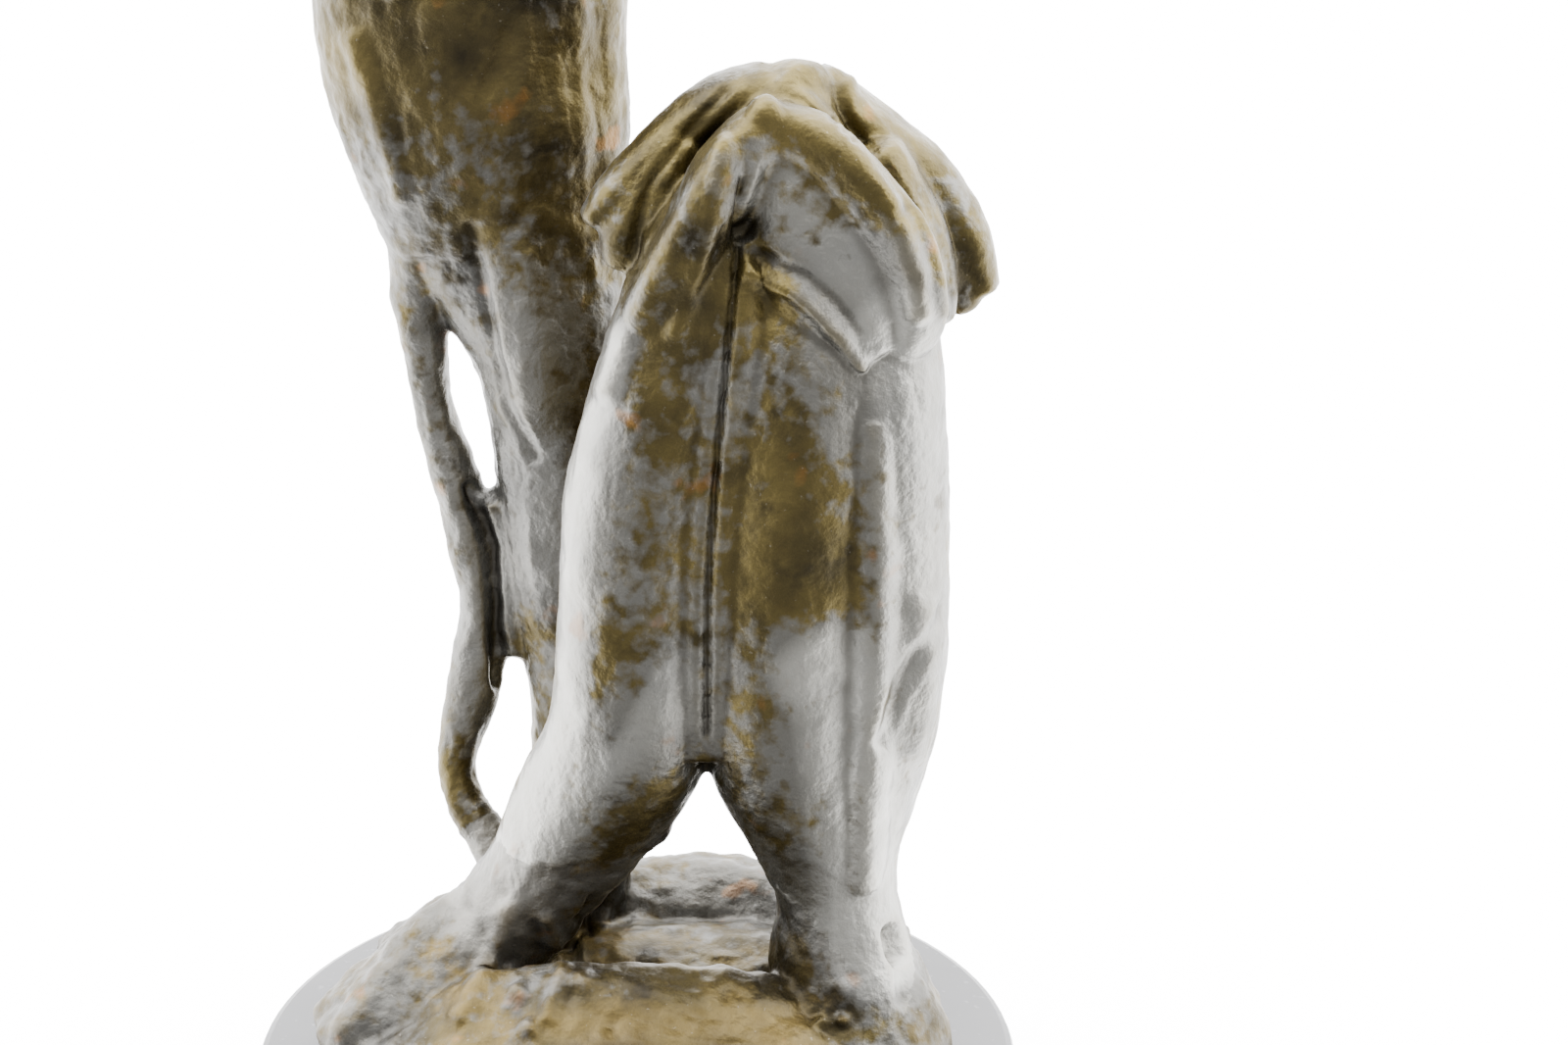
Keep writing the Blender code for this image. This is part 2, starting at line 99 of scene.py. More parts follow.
MASSES = {
    "ground_casting": [
        [
            (-1, 2, -3, 43, 35), (-1, 2, 1, 43, 35), (-1, 3, 4.5, 37, 29), (-1, 4, 6, 24, 18),
            (-1, 4, 6.5, 6, 5),
        ],
        [
            (-34, 18, 0, 8, 11), (-18, 27, 4, 9.5, 10), (0, 29, 5, 9.5, 10), (16, 29, 5, 9.5, 10),
            (35, 20, 1, 8, 11),
        ],
        [(-8, 12, 3, 8, 14), (8, 12, 3, 8, 14), (22, 12, 3, 8, 14)],
        [(-36, -9, 0, 8, 10), (-18, -11, 3, 8, 10), (4, -11, 3.5, 8.5, 10), (24, -11, 3.5, 8.5, 9)],
        [(-40, -4, -1, 9, 12), (-34, -2, 4, 10, 13), (-27, 1, 10, 9.5, 12), (-20, 3, 16, 8.5, 9)],
        [(33, -5, 2, 12, 16), (33, -3, 8, 10, 12), (32, 0, 13, 8, 9)],
        [(-14, 24, 2, 16, 13), (-12, 24, 8, 12, 10), (-11, 24, 13, 9, 8)],
    ],
    "hound_left_forequarter": [
        [
            (-20.5, 4, 15, 8, 9), (-13.5, 3, 25, 8.5, 10),
            (-7, 1, 36, 10.5, 11.5), (-0.5, -2, 49, 11.5, 12),
            (1, -3, 64, 11.2, 12.5), (2.3, -3, 84, 11, 12), (5.5, -3, 100, 10, 11),
            (9.5, -2, 116, 8.5, 10), (13, 0, 126, 6, 9),
        ],
        [
            (10.3, -5, 50, 5, 7), (10.8, -6.5, 66, 6.5, 8), (12.2, -6.5, 88, 6.5, 8),
            (14, -6, 106, 6, 7.5), (15.5, -4.5, 122, 4, 6.5),
        ],
    ],
    "hound_right_forequarter": [
        [
            (30, -7, 5, 12, 12), (29, -4, 16, 10, 10.5),
            (28, -2, 27, 8.8, 10), (25.5, -2, 38, 10.8, 11.5),
            (22, -3, 50, 12.3, 12.5), (21.5, -4, 68, 12.2, 12.5), (22.5, -4, 88, 12, 12),
            (23.5, -3, 104, 11.5, 11), (22.5, -1, 111, 9, 10),
        ],
        [
            (30, 1, 28, 6, 9), (31.5, 1, 41, 8.5, 11), (32.5, 0, 60, 11, 12.5), (32.5, 0, 80, 11, 12.5),
            (32.5, 0, 101, 10, 12), (31.5, 3, 114, 9, 8),
        ],
        [(31, -5, 30, 4, 7), (32, -6, 50, 5, 8), (32.5, -6.5, 75, 5, 8), (32.5, -6, 98, 5, 7)],
    ],
    "hound_hindquarters": [
        [
            (30.5, 18, 6, 7.5, 16), (30.5, 19, 20, 7, 16),
            (30.5, 18, 34, 9, 16), (29, 16, 50, 14.5, 15),
            (28, 12, 70, 15.5, 14), (27, 10, 92, 16, 13), (25, 8, 106, 15, 12),
        ],
        [
            (32.5, 14, 10, 4, 16), (33, 15, 26, 4.5, 16), (36, 13, 46, 7, 13), (36, 12, 62, 7.5, 10),
            (36, 10, 76, 6, 8),
        ],
        [
            (26, 18, 106, 3.5, 5), (28, 21, 92, 3.5, 5), (30, 23, 72, 4, 6), (32, 27, 50, 4, 7),
            (33, 30, 30, 4, 7),
        ],
        [(17, 13, 103, 5, 5), (19, 15.5, 90, 6, 6), (23, 16, 76, 5, 5)],
        [(36, 13, 103, 4, 5), (36.5, 15, 90, 5, 6), (36, 16, 76, 4, 5)],
    ],
    "hound_head": [
        [(20, 8, 112, 17, 11), (21, 8, 124, 15, 12), (21, 7, 134, 9, 11), (24, 11, 139, 4, 5)],
        [(4, -5, 112, 4, 7), (9, -8, 122, 4.5, 6), (14, -8, 131, 5, 6), (19, -5, 136, 4.5, 6.5)],
        [
            (19, -5, 136, 4.4, 6), (24.5, -7, 134.5, 4.2, 5.5),
            (29.5, -8, 130.5, 4.2, 5.5), (34, -8, 125, 4.4, 5.5),
            (37, -7.5, 118, 4.6, 5.5), (38, -6.5, 111.5, 4.4, 5.5), (36.5, -6, 107.5, 3.4, 4.5),
        ],
        [
            (22, -4, 133, 6, 7.5), (25, -5.5, 124, 9.5, 7.5), (28, -6, 114, 10, 7.5),
            (31, -5.5, 107, 7.5, 6.5),
        ],
        [(33, 2, 131, 4, 5), (38, 1, 122, 4, 5), (40.5, 0.5, 114, 3.6, 5), (41, 0, 109, 2.8, 4)],
    ],
    "hound_left_ear": [
        [
            (19, 5.5, 140, 2.6, 5.5), (12, 5, 137.5, 3.2, 5.5), (5, 4.5, 131.5, 3.2, 5),
            (-1, 4, 125.5, 3, 4.5), (-5, 3.5, 121.6, 1.6, 3),
        ],
        [
            (8, 3.5, 133, 3, 5), (3.5, 3, 126, 4.2, 5), (0, 2.5, 119.5, 3.8, 4.5),
            (-1.2, 2.5, 115.8, 2, 3),
        ],
    ],
    "hound_right_ear": [
        [
            (25, 9, 139, 2.8, 5.5), (31, 9, 134.5, 3, 6), (39, 9, 127.5, 3.5, 5.5),
            (45, 8.5, 119, 3.5, 5), (47.7, 8, 110.5, 2.6, 4),
        ],
        [
            (36, 8, 129, 3, 5), (41, 8, 121, 3.5, 5), (44, 7.5, 112, 3.5, 4.5),
            (45.7, 7.5, 108.5, 2.3, 3.5),
        ],
    ],
    "hound_tail": [
        [(33, 31, 19, 3.6, 3.6), (31, 35, 15, 3.4, 3.4), (27, 38, 12.5, 3, 3), (23, 40, 11, 2.2, 2.2)],
    ],
    "willow_column": [
        [
            (-11, 24, 6, 9, 9), (-9, 24, 24, 7.5, 8), (-8, 24, 44, 7.8, 8), (-9, 25, 64, 10, 9),
            (-10, 26, 82, 10.2, 9.5), (-11.5, 27, 96, 11.5, 10.5),
            (-15, 29, 108, 15, 12), (-18, 30, 118, 17, 13),
        ],
        [(-17, 26, 51, 5, 4.5), (-17, 26, 62, 6.5, 5), (-18, 26, 74, 6, 4)],
    ],
    "willow_root": [
        [
            (-19, 14, 13, 4, 4), (-21, 16.5, 22, 3, 3.2),
            (-25.2, 20, 29, 2.9, 3.2), (-26.4, 22, 35, 2.9, 3.2),
            (-23.8, 24, 46, 3.9, 4), (-22, 26, 57, 3.8, 4.5),
            (-23.3, 26.5, 66, 3.8, 4.5), (-26, 27, 77, 3.3, 4),
            (-28.2, 28, 85, 2.9, 3.4), (-29.6, 28, 95, 3.2, 4),
            (-29.8, 29, 104, 4.5, 5.5), (-29, 30, 116, 6, 8),
        ],
    ],
    "willow_crown": [
        [
            (-18, 30, 113, 17, 13), (-20, 30, 126, 20, 15), (-22, 31, 140, 21.5, 16),
            (-22, 31, 152, 21, 16), (-21, 31, 163, 16, 13),
        ],
        [(-34, 38, 118, 3, 4), (-36, 40, 136, 5, 6), (-34, 40, 152, 7, 7), (-33, 40, 160, 4, 4)],
        [(-12, 40, 122, 4, 4), (-10, 42, 140, 5, 6), (-9, 41, 154, 7, 7), (-9, 40, 162, 4, 4)],
        [(-30, 19, 150, 5, 4), (-31, 18, 157, 6, 6), (-30, 20, 164, 4, 4)],
        [(-12, 18, 153, 5, 4), (-11, 18, 160, 6, 5), (-12, 20, 166, 4, 4)],
    ],
    "willow_stub_left": [[(-34, 30, 148, 6, 6), (-38, 29, 158, 5, 5), (-40, 29, 166, 4, 4)]],
    "willow_stub_middle": [[(-20, 33, 158, 7, 7), (-18, 35, 168, 5.5, 5.5), (-17, 36, 174.2, 4, 4)]],
    "willow_stub_right": [[(-8, 28, 150, 6, 6), (-4, 27, 159, 5, 5), (-2, 26, 165, 4, 4)]],
}

# ---- relief: (points, radius, height). Points are (x, height) where the sight line from EYE
# meets the upright plane y = HOUND_PLANE for the hound and ground, or y = WILLOW_PLANE.

HOUND_PLANE = 0.0
WILLOW_PLANE = 28.0

HOUND_RELIEF = [
    # throat under the jaw, then the two jaw ridges that frame it
    ([(21, 128), (25, 121), (30, 113)], 7.0, -0.7),
    ([(18.5, 137), (12.5, 130.5), (8, 122), (3.5, 114), (0, 107), (-2.5, 99)], 3.0, 1.2),
    (
        [(18.5, 137), (23.5, 135.5), (28.5, 131.5), (33, 126), (36.5, 120.5), (38.5, 115), (39, 110)],
        2.6,
        1.3,
    ),
    # seam between the forequarters: a soft valley with a sharp crack in it
    (
        [
            (16, 132), (15.5, 123.5), (14.5, 115.5), (13.5, 107), (12, 91), (10.5, 70.5), (10.2, 59),
            (10.4, 43),
        ],
        1.8,
        -0.6,
    ),
    ([(15.8, 128), (14.5, 115.5), (13.5, 107), (12, 91), (10.5, 70.5), (10.3, 48)], 0.8, -1.0),
    ([(13.5, 132.5), (12, 124.5), (9.5, 115.5), (6.5, 107)], 2.0, 0.9),
    # ragged step where the right forequarter starts
    ([(16, 115.5), (19, 114), (22.5, 112.5), (26, 109), (29, 105.5), (31, 102.5)], 1.7, 1.2),
    ([(17, 118), (20, 116.5), (24, 114.5), (28, 111), (31, 107)], 1.5, -0.8),
    # grooves that part the ears from the skull, and the second fold beside the right ear
    ([(13.3, 140), (8.2, 134), (3.6, 128), (1.9, 122.7), (0.9, 116)], 1.2, -0.8),
    ([(30.6, 138), (35.8, 130.7), (39.7, 124), (42.5, 115.3), (43.5, 108.5)], 1.3, -0.7),
    ([(28.7, 140), (34.5, 132.7), (39.1, 124.1), (41.5, 116), (42.1, 109.8)], 1.8, 1.0),
    ([(21, 140.6), (26.1, 136.7), (31.3, 130.7), (35.2, 124.7)], 2.0, 0.8),
    ([(22.5, 142.5), (26, 143), (29.5, 141.5)], 2.5, 1.0),
    ([(27.2, 135.6)], 1.0, -0.8),
    ([(28.4, 134.1)], 0.9, -0.7),
    ([(29.5, 132.7)], 0.8, -0.7),
    # edge of the flank, haunch and its crease
    ([(31.5, 101.5), (33.3, 90.5), (34.3, 76), (34.4, 64.5), (33.5, 53), (32.5, 41), (32.3, 26)], 3.0, 0.4),
    ([(43.2, 67.3), (39.9, 61.8), (36.6, 54.5), (34.6, 47)], 1.8, -0.8),
    ([(39.8, 67.6), (41.6, 56), (40.7, 45.6)], 3.0, 0.8),
    # pit at the right ankle
    ([(36.8, 17.5), (37.4, 14.5)], 2.4, -2.6),
    ([(37.8, 13), (38.2, 7)], 1.8, -0.8),
]

GROUND_RELIEF = [
    ([(-24.5, 26), (-30.3, 18.3), (-36, 10.5), (-42, 2)], 3.0, 1.3),
    ([(-17.7, 21.4), (-20.7, 13.6), (-25.2, 4.2)], 2.6, 1.3),
    ([(-14, 18), (-15, 11), (-18, 3)], 2.4, -0.4),
    ([(-12.2, 19.8), (-10.3, 12.1), (-12.6, 4.2)], 2.0, 1.0),
    ([(-5.3, 22), (-7, 19)], 2.4, -2.5),
    ([(-16.7, 8.2)], 2.2, 1.3),
    ([(-15.4, 2.4)], 2.4, 1.3),
    ([(-7.7, 9.9)], 2.8, 1.3),
    ([(26.3, 3.5)], 1.6, 1.2),
    ([(29.4, 3.9)], 1.6, 1.2),
]

WILLOW_RELIEF = [
    # smooth tongue of new wood below the crown
    ([(-16, 108), (-15.5, 98), (-15, 88)], 7.0, 2.0),
    ([(-22.7, 113.5), (-20.3, 101), (-18, 89), (-14.6, 79)], 1.6, -0.8),
    ([(-22.7, 114.5), (-16, 116.5), (-8.4, 113)], 2.0, 0.4),
    # long grooves down the crown and the web
    ([(-4.7, 146), (-4.6, 137.5), (-4.4, 129), (-5.1, 121)], 2.4, -0.5),
    ([(-38, 140), (-35, 129), (-32, 118)], 2.4, 1.0),
    ([(-23.9, 74.4), (-21.3, 65.4), (-20.9, 53.2), (-20.4, 44)], 1.6, -1.6),
]


# ---- grey film, in places brightened into painted sheen, and bare brown, in places painted shade: (points, radius, amount), laid out like the relief ----

HOUND_FILM_AND_SHEEN = [
    # throat, left foreleg, right foreleg, flank and outer edge of the left forequarter; on the flank and
    # the outer edge the bright film is a painted reflection of the bright room at their turning sides
    ([(20, 128), (27, 120), (33, 111)], 10.0, 0.75),
    ([(3, 52), (-8, 42), (-15, 32), (-20, 22)], 11.0, 0.80),
    ([(26, 60), (29, 40), (31, 14)], 9.0, 0.90),
    ([(1, 66), (20, 60)], 9.0, 0.35),
    ([(38, 104), (39, 60), (37, 14)], 10.0, 0.80),
    ([(-3, 105), (-7, 90), (-10, 70), (-11, 52), (-22, 26)], 6.0, 1.0),
    # bare brown down both forequarters
    ([(7, 118), (5.5, 100), (5, 85), (3, 76)], 6.0, -0.35),
    ([(-1, 60), (-5, 50)], 5.0, -0.40),
    ([(17, 110), (19, 95), (19, 76), (20, 66)], 8.0, -0.50),
    # rubbed ridges of the jaw and ears
    ([(-4, 121), (8, 137), (20, 141), (33, 136), (45, 116)], 5.0, -0.30),
    ([(19, 137), (29, 132), (36, 121)], 3.0, -0.50),
    # rim behind, basin, ochre ledge in front and the mound
    ([(0, 22), (16, 22)], 8.0, 0.60),
    ([(-2, 12), (18, 12)], 5.0, -0.15),
    ([(-10, 3), (8, 3), (22, 3)], 6.0, -1.0),
    ([(-38, 4), (-28, 16)], 9.0, 0.25),
]

WILLOW_FILM_SHEEN_AND_SHADE = [
    ([(-16, 108), (-15, 90), (-13, 62)], 9.0, 0.70),
    ([(-29, 95), (-27, 78), (-23, 60), (-24, 45), (-26, 34)], 6.0, 0.70),
    ([(-22, 125), (-22, 155)], 18.0, -0.25),
    # right side of the crown: the bare brown here is painted shade, darkening its bright turning edge
    ([(-3.5, 120), (-3.5, 150)], 7.0, -0.45),
]

# Painted shade: the far side, turned away from the eye, carries less grey film and reads browner and darker
# than the front
FAR_SIDE_PAINTED_SHADE = -0.28


# ---- mesh building -------------------------------------------------------------


def linked(name, data):
    """A new object in the scene."""
    obj = bpy.data.objects.new(name, data)
    bpy.context.scene.collection.objects.link(obj)
    return obj


def catmull_rom(stations):
    """The stations with smooth steps between them."""
    rows = np.array([stations[0], *stations, stations[-1]], float)
    out = []
    for i in range(1, len(rows) - 2):
        a, b, c, d = rows[i - 1 : i + 3]
        for step in range(STEPS_PER_SPAN):
            t = step / STEPS_PER_SPAN
            square = (2 * a - 5 * b + 4 * c - d) * t**2
            cube = (3 * b - a - 3 * c + d) * t**3
            out.append(0.5 * (2 * b + (c - a) * t + square + cube))
    out.append(rows[-1])
    return np.array(out)


def join_rings(bm, upper, lower):
    """A band of quads between two rings."""
    count = len(upper)
    for k in range(count):
        j = (k + 1) % count
        bm.faces.new((upper[k], lower[k], lower[j], upper[j]))


def add_mass(bm, stations):
    """A closed limb through elliptical rings, in mm."""
    path = catmull_rom(stations)
    centres = [Vector(row[:3]) for row in path]
    rings = []
    for i, row in enumerate(path):
        along = (centres[min(i + 1, len(path) - 1)] - centres[max(i - 1, 0)]).normalized()
        depth = Vector((0, 1, 0))
        depth = (depth - along * depth.dot(along)).normalized()
        width = depth.cross(along)
        ring = []
        for k in range(RING_SIDES):
            angle = 2 * math.pi * k / RING_SIDES
            offset = width * (row[3] * math.cos(angle)) + depth * (row[4] * math.sin(angle))
            ring.append(bm.verts.new(centres[i] + offset))
        rings.append(ring)
    for upper, lower in zip(rings, rings[1:]):
        join_rings(bm, upper, lower)
    add_dome(bm, rings[0], centres[0], centres[0] - centres[1], path[0])
    add_dome(bm, rings[-1], centres[-1], centres[-1] - centres[-2], path[-1])


def add_dome(bm, ring, centre, outward, row):
    """Closes a limb's end with a low cone, which the smoothing rounds off."""
    rise = DOME_SHARE * min(row[3], row[4])
    tip = bm.verts.new(centre + outward.normalized() * rise)
    for k in range(RING_SIDES):
        bm.faces.new((ring[k], ring[(k + 1) % RING_SIDES], tip))


def fused_mesh():
    """All masses grown together into one skin, as (points in mm, quads)."""
    bm = bmesh.new()
    for limbs in MASSES.values():
        for stations in limbs:
            add_mass(bm, stations)
    bmesh.ops.recalc_face_normals(bm, faces=bm.faces)
    mesh = bpy.data.meshes.new("fused")
    bm.to_mesh(mesh)
    bm.free()
    obj = linked("fused", mesh)
    fuse = obj.modifiers.new("fuse", "REMESH")
    fuse.mode = "VOXEL"
    fuse.voxel_size = VOXEL
    soften = obj.modifiers.new("soften", "SMOOTH")
    soften.factor = SOFTEN_FACTOR
    soften.iterations = SOFTEN_STEPS
    graph = bpy.context.evaluated_depsgraph_get()
    baked = bpy.data.meshes.new_from_object(obj.evaluated_get(graph))
    points = np.empty(len(baked.vertices) * 3)
    baked.vertices.foreach_get("co", points)
    quads = np.empty(len(baked.loops), int)
    baked.loops.foreach_get("vertex_index", quads)
    bpy.data.objects.remove(obj)
    return points.reshape(-1, 3), quads.reshape(-1, 4)


def vertex_normals(points, quads):
    """Unit normals at the vertices, weighted by the area of the faces around them."""
    a, b, c, d = (points[quads[:, i]] for i in range(4))
    face = np.cross(c - a, d - b)
    total = np.zeros_like(points)
    for i in range(4):
        np.add.at(total, quads[:, i], face)
    return total / np.maximum(np.linalg.norm(total, axis=1, keepdims=True), TINY)


def neighbour_mean(values, quads, rounds):
    """values smoothed over the mesh, each round taking the mean of a vertex and its neighbours."""
    ends = np.concatenate([quads[:, [0, 1]], quads[:, [1, 2]], quads[:, [2, 3]], quads[:, [3, 0]]])
    size = len(values)
    count = np.bincount(ends[:, 0], minlength=size) + np.bincount(ends[:, 1], minlength=size)
    for _ in range(rounds):
        total = np.zeros_like(values)
        for axis in range(values.shape[1]):
            total[:, axis] = np.bincount(ends[:, 0], values[ends[:, 1], axis], size)
            total[:, axis] += np.bincount(ends[:, 1], values[ends[:, 0], axis], size)
        values = 0.5 * values + 0.5 * total / count[:, None]
    return values


# ---- which node a vertex belongs to ---------------------------------------------


def nearest_node(points):
    """The index in MASSES of the node whose mass each point lies nearest to; every second ring will do."""
    best = np.full(len(points), np.inf)
    owner = np.zeros(len(points), int)
    for index, limbs in enumerate(MASSES.values()):
        for stations in limbs:
            for row in catmull_rom(stations)[::2]:
                reach = np.array([row[3], row[4], min(row[3], row[4])])
                apart = np.linalg.norm((points - row[:3]) / reach, axis=1)
                closer = apart < best
                best[closer] = apart[closer]
                owner[closer] = index
    return owner


def sort_of(node):
    """hound, willow or ground: the first word of a bronze node's name."""
    return node.split("_")[0]


def members_of(owner, sort):
    """Which vertices belong to nodes of one sort."""
    return np.array([sort_of(node) == sort for node in MASSES])[owner]


# ---- carving ---------------------------------------------------------------------


def seen_from_eye(points, plane):
    """Where the sight line of each point meets the upright plane, as (x, height)."""
    eye = np.array(EYE)
    share = (plane - eye[1]) / (points[:, 1] - eye[1])
    return (eye + (points - eye) * share[:, None])[:, [0, 2]]


def eye_cosine(points, normals):
    """1 where the skin faces the eye squarely, 0 at its outline, and -1 on the far side."""
    toward = np.array(EYE) - points
    toward /= np.linalg.norm(toward, axis=1, keepdims=True)
    return (normals * toward).sum(1)


def facing_eye(points, normals):
    """1 where the skin faces the eye, falling to 0 where it turns away."""
    return np.clip((eye_cosine(points, normals) - OUTLINE_MARGIN) / TURNING_SPAN, 0, 1)


def distance_to_path(flat, path):
    """How far each flat point lies from a chain of straight pieces, or from a single point."""
    path = np.array(path, float)
    if len(path) == 1:
        return np.linalg.norm(flat - path[0], axis=1)
    best = np.full(len(flat), np.inf)
    for a, b in zip(path, path[1:]):
        along = np.clip(((flat - a) @ (b - a)) / ((b - a) @ (b - a)), 0, 1)
        best = np.minimum(best, np.linalg.norm(flat - a - along[:, None] * (b - a), axis=1))
    return best


def nearness(flat, path, radius):
    """1 on the path, falling to 0 at the radius."""
    return np.clip(1 - (distance_to_path(flat, path) / radius) ** 2, 0, 1)


def carve(points, normals, members, relief, plane):
    """Raises and cuts the relief into the member vertices that face the eye."""
    flat = seen_from_eye(points, plane)
    height = np.zeros(len(points))
    for path, radius, rise in relief:
        height += rise * nearness(flat, path, radius) ** 2
    return normals * (height * facing_eye(points, normals) * members)[:, None]


def painted(points, normals, members, film_and_sheen, plane):
    """How much grey film and painted sheen, above or below the average, lies on each member vertex, with
    painted shade on the far side.
    """
    flat = seen_from_eye(points, plane)
    total = np.zeros(len(points))
    for path, radius, amount in film_and_sheen:
        total += amount * nearness(flat, path, radius)
    # painted shade: less film, so browner and darker, on the side turned away from the eye
    far_side_shade = np.clip(-eye_cosine(points, normals) / TURNING_SPAN, 0, 1)
    return (total * facing_eye(points, normals) + FAR_SIDE_PAINTED_SHADE * far_side_shade) * members


def fractal(points, size, octaves=3):
    """Smooth noise of about -1 to 1 at each point, with features of the given size in mm."""
    return np.array([noise.fractal(Vector(p) / size, FALLOFF, LACUNARITY, octaves) for p in points])


def roughen(points, normals, members):
    """Hand-modelled surface: soft lumps on the hound, bark on the willow, rock on the ground."""
    lumps = fractal(points, LUMP_SIZE)
    grain = fractal(points + GRAIN_SHIFT, GRAIN_SIZE)
    bark = np.abs(fractal(points * BARK_STRETCH, BARK_SIZE))
    rock = np.abs(fractal(points + ROCK_SHIFT, ROCK_SIZE, ROCK_OCTAVES))
    height = np.zeros(len(points))
    for sort, (lump_height, ridge_height, grain_height) in UNEVENNESS.items():
        ridges = (rock if sort == "ground" else bark) - RIDGE_MEAN
        local = lump_height * lumps + ridge_height * ridges + grain_height * grain
        height = np.where(members[sort], local, height)
    return normals * height[:, None]


def sculpt():
    """The whole bronze as (points, quads, normals, values kept at each point, owner)."""
    points, quads = fused_mesh()
    owner = nearest_node(points)
    members = {sort: members_of(owner, sort) for sort in UNEVENNESS}
    front = members["hound"] | members["ground"]
    willow = members["willow"]
    normals = neighbour_mean(vertex_normals(points, quads), quads, NORMAL_ROUNDS)
    moved = carve(points, normals, front, HOUND_RELIEF, HOUND_PLANE)
    moved += carve(points, normals, front, GROUND_RELIEF, HOUND_PLANE)
    moved += carve(points, normals, willow, WILLOW_RELIEF, WILLOW_PLANE)
    moved += roughen(points, normals, members)
    points = neighbour_mean(points + moved, quads, SKIN_ROUNDS)
    points[:, 2] = np.maximum(points[:, 2], STONE_CLEARANCE)
    normals = vertex_normals(points, quads)
    broad = neighbour_mean(points, quads, CAVITY_ROUNDS)
    cavity = ((points - broad) * normals).sum(1)
    film_and_sheen = painted(points, normals, front, HOUND_FILM_AND_SHEEN, HOUND_PLANE)
    film_and_sheen += painted(points, normals, willow, WILLOW_FILM_SHEEN_AND_SHADE, WILLOW_PLANE)
    return points, quads, normals, {"cavity": cavity, "film_and_sheen": film_and_sheen}, owner


def build_bronze():
    """The sculpted skin shared out to one object per bronze node."""
    points, quads, normals, kept, owner = sculpt()
    face_owner = owner[quads[:, 0]]
    pieces = {}
    for index, node in enumerate(MASSES):
        faces = quads[face_owner == index]
        used, local = np.unique(faces, return_inverse=True)
        places = points[used].copy()
        places[:, 2] += STONE_TOP
        mesh = bpy.data.meshes.new(node + "_bronze")
        mesh.from_pydata((places * MM).tolist(), [], local.reshape(-1, 4).tolist())
        mesh.polygons.foreach_set("use_smooth", [True] * len(mesh.polygons))
        mesh.normals_split_custom_set_from_vertices(normals[used].tolist())
        for name, values in kept.items():
            layer = mesh.attributes.new(name, "FLOAT", "POINT")
            layer.data.foreach_set("value", values[used].astype(np.float32))
        pieces[node] = linked(node + "_bronze", mesh)
    return pieces


# ---- materials: noise scales are per metre --------------------------------------


class Nodes:
    """Short names for building one node material."""

    def __init__(self, name):
        self.material = bpy.data.materials.new(name)
        self.material.use_nodes = True
        self.tree = self.material.node_tree
        self.shader = self.tree.nodes["Principled BSDF"]
        self.where = self.tree.nodes.new("ShaderNodeTexCoord").outputs["Object"]

    def link(self, source, socket):
        self.tree.links.new(source, socket)

    def noise(self, scale, detail=4.0, stretch=None):
        node = self.tree.nodes.new("ShaderNodeTexNoise")
        node.inputs["Scale"].default_value = scale
        node.inputs["Detail"].default_value = detail
        source = self.where
        if stretch:
            mapping = self.tree.nodes.new("ShaderNodeMapping")
            mapping.inputs["Scale"].default_value = stretch
            self.link(source, mapping.inputs["Vector"])
            source = mapping.outputs["Vector"]
        self.link(source, node.inputs["Vector"])
        return node.outputs["Fac"]

    def ramp(self, source, *stops):
        """Maps a value to colours; each stop is (position, colour)."""
        node = self.tree.nodes.new("ShaderNodeValToRGB")
        elements = node.color_ramp.elements
        while len(elements) < len(stops):
            elements.new(0.5)
        for element, (position, colour) in zip(elements, stops):
            element.position = position
            element.color = (*colour, 1.0)
        self.link(source, node.inputs["Fac"])
        return node.outputs["Color"]

    def remap(self, source, band, result):
        """Maps the band of values onto the result's two ends, clamped outside it."""
        node = self.tree.nodes.new("ShaderNodeMapRange")
        node.inputs["From Min"].default_value = band[0]
        node.inputs["From Max"].default_value = band[1]
        node.inputs["To Min"].default_value = result[0]
        node.inputs["To Max"].default_value = result[1]
        self.link(source, node.inputs["Value"])
        return node.outputs["Result"]

    def mix(self, factor, first, second):
        node = self.tree.nodes.new("ShaderNodeMix")
        node.data_type = "RGBA"
        self.link(factor, node.inputs["Factor"])
        for value, socket in ((first, node.inputs["A"]), (second, node.inputs["B"])):
            if isinstance(value, tuple):
                socket.default_value = (*value, 1.0)
            else:
                self.link(value, socket)
        return node.outputs["Result"]

    def add(self, first, second):
        node = self.tree.nodes.new("ShaderNodeMath")
        node.operation = "ADD"
        self.link(first, node.inputs[0])
        self.link(second, node.inputs[1])
        return node.outputs["Value"]

    def attribute(self, name):
        node = self.tree.nodes.new("ShaderNodeAttribute")
        node.attribute_name = name
        return node.outputs["Fac"]

    def colour(self, source):
        self.link(source, self.shader.inputs["Base Color"])

    def roughness(self, scale, result):
        """Roughness that wanders between the result's two ends."""
        self.link(self.remap(self.noise(scale), NOISE_BAND, result), self.shader.inputs["Roughness"])

    def bump(self, source, strength, distance):
        node = self.tree.nodes.new("ShaderNodeBump")
        node.inputs["Strength"].default_value = strength
        node.inputs["Distance"].default_value = distance
        self.link(source, node.inputs["Height"])
        self.link(node.outputs["Normal"], self.shader.inputs["Normal"])

    def set(self, **values):
        for name, value in values.items():
            self.shader.inputs[name.replace("_", " ").title()].default_value = value


# The part of a noise's 0 to 1 that it mostly fills
NOISE_BAND = (0.3, 0.7)

